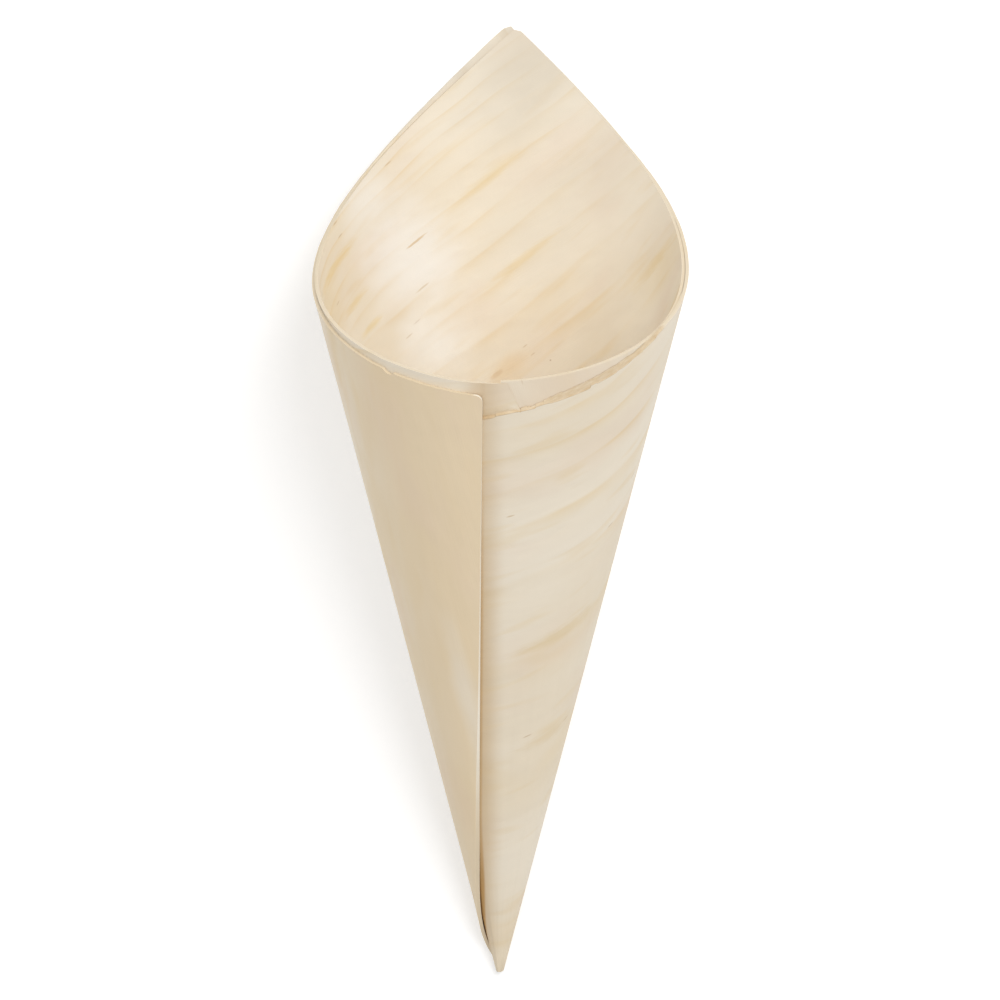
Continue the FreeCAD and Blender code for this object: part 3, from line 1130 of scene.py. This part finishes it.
    def stain_or_painted_light(self, stain_or_painted_light: Spot, right: Shade, up: Shade, wobble: Shade) -> Shade:
        """Give the strength of one spot: a real mark of the wood, or a patch of painted
        highlight or painted shade.

        Args:
            stain_or_painted_light: The spot, a real mark of the wood or a patch of painted
                highlight or painted shade.
            right: Place along the sheet, in millimetres.
            up: Place across the sheet, in millimetres.
            wobble: How far the spot's outline wanders, about 0 on average.

        Returns:
            The strength, from 0 to 1.
        """
        outside = stain_or_painted_light.face is Face.OUTER
        turn = math.radians(self.grain_angle if outside else self.lining_angle)
        past, over = right - stain_or_painted_light.right, up - stain_or_painted_light.up
        level = past * (math.cos(turn) / stain_or_painted_light.half_length)
        level = level + over * (math.sin(turn) / stain_or_painted_light.half_length)
        upright = over * (math.cos(turn) / stain_or_painted_light.half_width)
        upright = upright - past * (math.sin(turn) / stain_or_painted_light.half_width)
        distance = (level * level + upright * upright).root() + wobble * 0.9
        return (1 - distance.step(1 - stain_or_painted_light.softness, 1.0)) * stain_or_painted_light.strength

    def wood_colour(
        self, tree: ShaderTree, along: Shade, across: Shade
    ) -> bpy.types.NodeSocket:
        """Colour the clean face of the wood.

        Args:
            tree: The tree to build in.
            along: Place along the fibres, in millimetres.
            across: Place across the fibres, in millimetres.

        Returns:
            The colour's socket.
        """
        drift = tree.noise(along * 0.012, across * 0.03, 0.0, 1.0) - 0.5
        wander = tree.noise(along * 0.05, across * 0.06, 5.0, 1.0) - 0.5
        place = across + drift * 9 + wander * 2.5
        power = (place - self.ring_middle) / self.ring_rate
        growth = self.ring_start * math.e**power + self.ring_offset
        saw = growth.fraction()
        band = saw**5 * (1 - saw.step(0.90, 1.0))
        presence = tree.noise(along * 0.060, across * 0.14, 2.0, 2.0).step(0.42, 0.62)
        streaks = tree.noise(along * 0.075, across * 0.50, 7.0, 1.0)
        fine = tree.noise(along * 0.12, across * 4.2, 1.0, 3.0)
        plain = 1 - across.step(-8.0, 14.0)
        tone = tree.noise(along * 0.020, across * 0.06, 9.0, 2.0).step(0.35, 0.68)
        clean = screen_colour(*self.early_wood)
        colour = tree.mix(tone * 0.75, clean, self.warm_wood)
        colour = tree.mix(plain * 0.8, colour, self.low_wood)
        blush = tree.noise(along * 0.045, across * 0.10, 12.0, 2.0).step(0.48, 0.70)
        colour = tree.mix(blush * 0.25, colour, self.blush_wood)
        share = band * (0.22 + 0.78 * presence) * 0.65
        colour = tree.mix(share, colour, self.late_wood)
        weak = streaks.step(0.56, 0.76) * 0.24 * (1 - plain * 0.8) + fine.step(0.52, 0.8) * 0.06
        colour = tree.mix(weak, colour, self.late_wood)
        far, chance = tree.cells(along * 0.13, across * 0.9)
        dash = (1 - far.step(0.04, 0.14)) * chance.step(0.978, 0.980)
        colour = tree.mix(dash * 0.4, colour, self.resin)
        return colour

    def beside_seam(self, at: SheetSpot) -> Shade:
        """Measure how far a spot lies from the place where the flap ends above it.

        Args:
            at: The shaded spot.

        Returns:
            The distance from the seam, in millimetres.
        """
        clearance = self.cone.sheet.point_clearance / MILLIMETRE
        once_round = 2 * math.pi * math.sin(self.cone.slope)
        seam = (clearance / at.distance).arcsine() + once_round
        return ((seam - at.up.angle_from(at.right)) * at.distance).absolute()


@dataclass(frozen=True)
class Studio:
    """The pale floor, the soft light from the right, and the camera above."""

    half_floor: float = 3.0
    floor_shine: float = 0.34
    floor_white: float = 0.8
    world_light: float = 0.62
    key_place: tuple[float, float, float] = (0.36, 0.42, 0.86)
    key_size: float = 0.70
    key_power: float = 5.0
    fill_place: tuple[float, float, float] = (-0.80, 0.50, 0.70)
    fill_size: float = 0.90
    fill_power: float = 1.9
    camera_distance: float = 1.527
    camera_elevation: float = 13.99
    camera_roll: float = 0.14
    aim_height: float = 0.0733
    aim_right: float = 0.000024
    aim_up: float = 0.0036
    lens: float = 360.0
    sensor: float = 36.0

    def build(self, cone: VeneerCone) -> None:
        """Put up the floor, the light and the camera.

        Args:
            cone: The cone that the camera looks at.
        """
        self.floor()
        self.world()
        self.lamp("key", self.key_place, self.key_size, self.key_power)
        self.lamp("fill", self.fill_place, self.fill_size, self.fill_power)
        self.camera(cone)

    def seen_directly(self, tree: ShaderTree) -> Shade:
        """Mark rays that show the background: straight, mirrored or through glass.

        Args:
            tree: The tree to build in.

        Returns:
            1 for such rays, and 0 for the rest.
        """
        path = tree.node("ShaderNodeLightPath")
        straight = Shade(tree, path.outputs["Is Camera Ray"])
        mirrored = Shade(tree, path.outputs["Is Glossy Ray"])
        through = Shade(tree, path.outputs["Is Transmission Ray"])
        return (straight + mirrored + through).step(0.0, 1.0)

    def floor(self) -> None:
        """Lay a plain floor that shows white but keeps the cone's shadow."""
        reach = self.half_floor
        mesh = bpy.data.meshes.new("floor")
        corners = [(-reach, -reach, 0), (reach, -reach, 0)]
        corners += [(reach, reach, 0), (-reach, reach, 0)]
        mesh.from_pydata(corners, [], [(0, 1, 2, 3)])
        floor = bpy.data.objects.new("floor", mesh)
        bpy.context.scene.collection.objects.link(floor)
        made = bpy.data.materials.new("floor_paper")
        made.use_nodes = True
        tree = ShaderTree(made.node_tree)
        white = self.floor_white
        matt = tree.node("ShaderNodeBsdfDiffuse", {}, {"Color": (white, white, white, 1.0)})
        glow = tree.node("ShaderNodeEmission", {}, {"Strength": self.floor_shine})
        lifted = tree.node("ShaderNodeAddShader", {}, {0: matt.outputs[0], 1: glow.outputs[0]})
        mixed = tree.node(
            "ShaderNodeMixShader",
            {},
            {0: self.seen_directly(tree), 1: matt.outputs[0], 2: lifted.outputs[0]},
        )
        tree.node("ShaderNodeOutputMaterial", {}, {"Surface": mixed.outputs[0]})
        mesh.materials.append(made)

    def world(self) -> None:
        """Surround the scene with even light, and show it white."""
        world = bpy.data.worlds.new("studio")
        world.use_nodes = True
        bpy.context.scene.world = world
        tree = ShaderTree(world.node_tree)
        light = tree.node("ShaderNodeBackground", {}, {"Strength": self.world_light})
        shown = tree.node("ShaderNodeBackground", {}, {"Strength": 1.0})
        for node in (light, shown):
            node.inputs["Color"].default_value = (1.0, 1.0, 1.0, 1.0)
        mixed = tree.node(
            "ShaderNodeMixShader",
            {},
            {0: self.seen_directly(tree), 1: light.outputs[0], 2: shown.outputs[0]},
        )
        tree.node("ShaderNodeOutputWorld", {}, {"Surface": mixed.outputs[0]})

    def lamp(
        self, name: str, place: tuple[float, float, float], size: float, power: float
    ) -> None:
        """Hang one soft round lamp that faces the cone.

        Args:
            name: What the lamp is called.
            place: Where it hangs.
            size: Its diameter.
            power: Its power, in watts.
        """
        data = bpy.data.lights.new(name, "AREA")
        data.shape = "DISK"
        data.size = size
        data.energy = power
        lamp = bpy.data.objects.new(name, data)
        lamp.location = place
        lamp.rotation_euler = Vector(place).to_track_quat("Z", "Y").to_euler()
        bpy.context.scene.collection.objects.link(lamp)

    def camera(self, cone: VeneerCone) -> None:
        """Look at the cone from the photographed angle.

        Args:
            cone: The cone that the camera looks at.
        """
        fall = Matrix.Rotation(cone.rest_slope - math.pi / 2, 3, "X")
        aim = cone.point() + fall @ Vector((0.0, 0.0, self.aim_height))
        rise = math.radians(self.camera_elevation)
        back = fall @ Vector((0.0, -math.cos(rise), math.sin(rise)))
        roll = math.radians(self.camera_roll)
        level = Vector((1.0, 0.0, 0.0))
        upright = back.cross(level)
        right = level * math.cos(roll) + upright * math.sin(roll)
        up = upright * math.cos(roll) - level * math.sin(roll)
        place = aim + back * self.camera_distance + right * self.aim_right + up * self.aim_up
        data = bpy.data.cameras.new("camera")
        data.lens = self.lens
        data.sensor_width = self.sensor
        data.clip_end = 10.0
        camera = bpy.data.objects.new("camera", data)
        turned = Matrix((right, up, back)).transposed()
        camera.matrix_world = Matrix.Translation(place) @ turned.to_4x4()
        bpy.context.scene.collection.objects.link(camera)
        bpy.context.scene.camera = camera


def main() -> None:
    """Build the cone and its studio."""
    logging.basicConfig(level=logging.INFO, format="%(name)s: %(message)s")
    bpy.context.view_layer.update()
    cone = VeneerCone()
    piece = cone.build()
    piece.data.materials.append(PineVeneer(cone).material())
    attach(piece, BODY)
    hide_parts(NODE)
    Studio().build(cone)
    scene = bpy.context.scene
    scene.view_settings.view_transform = "Standard"


if __name__ == "__main__":
    main()
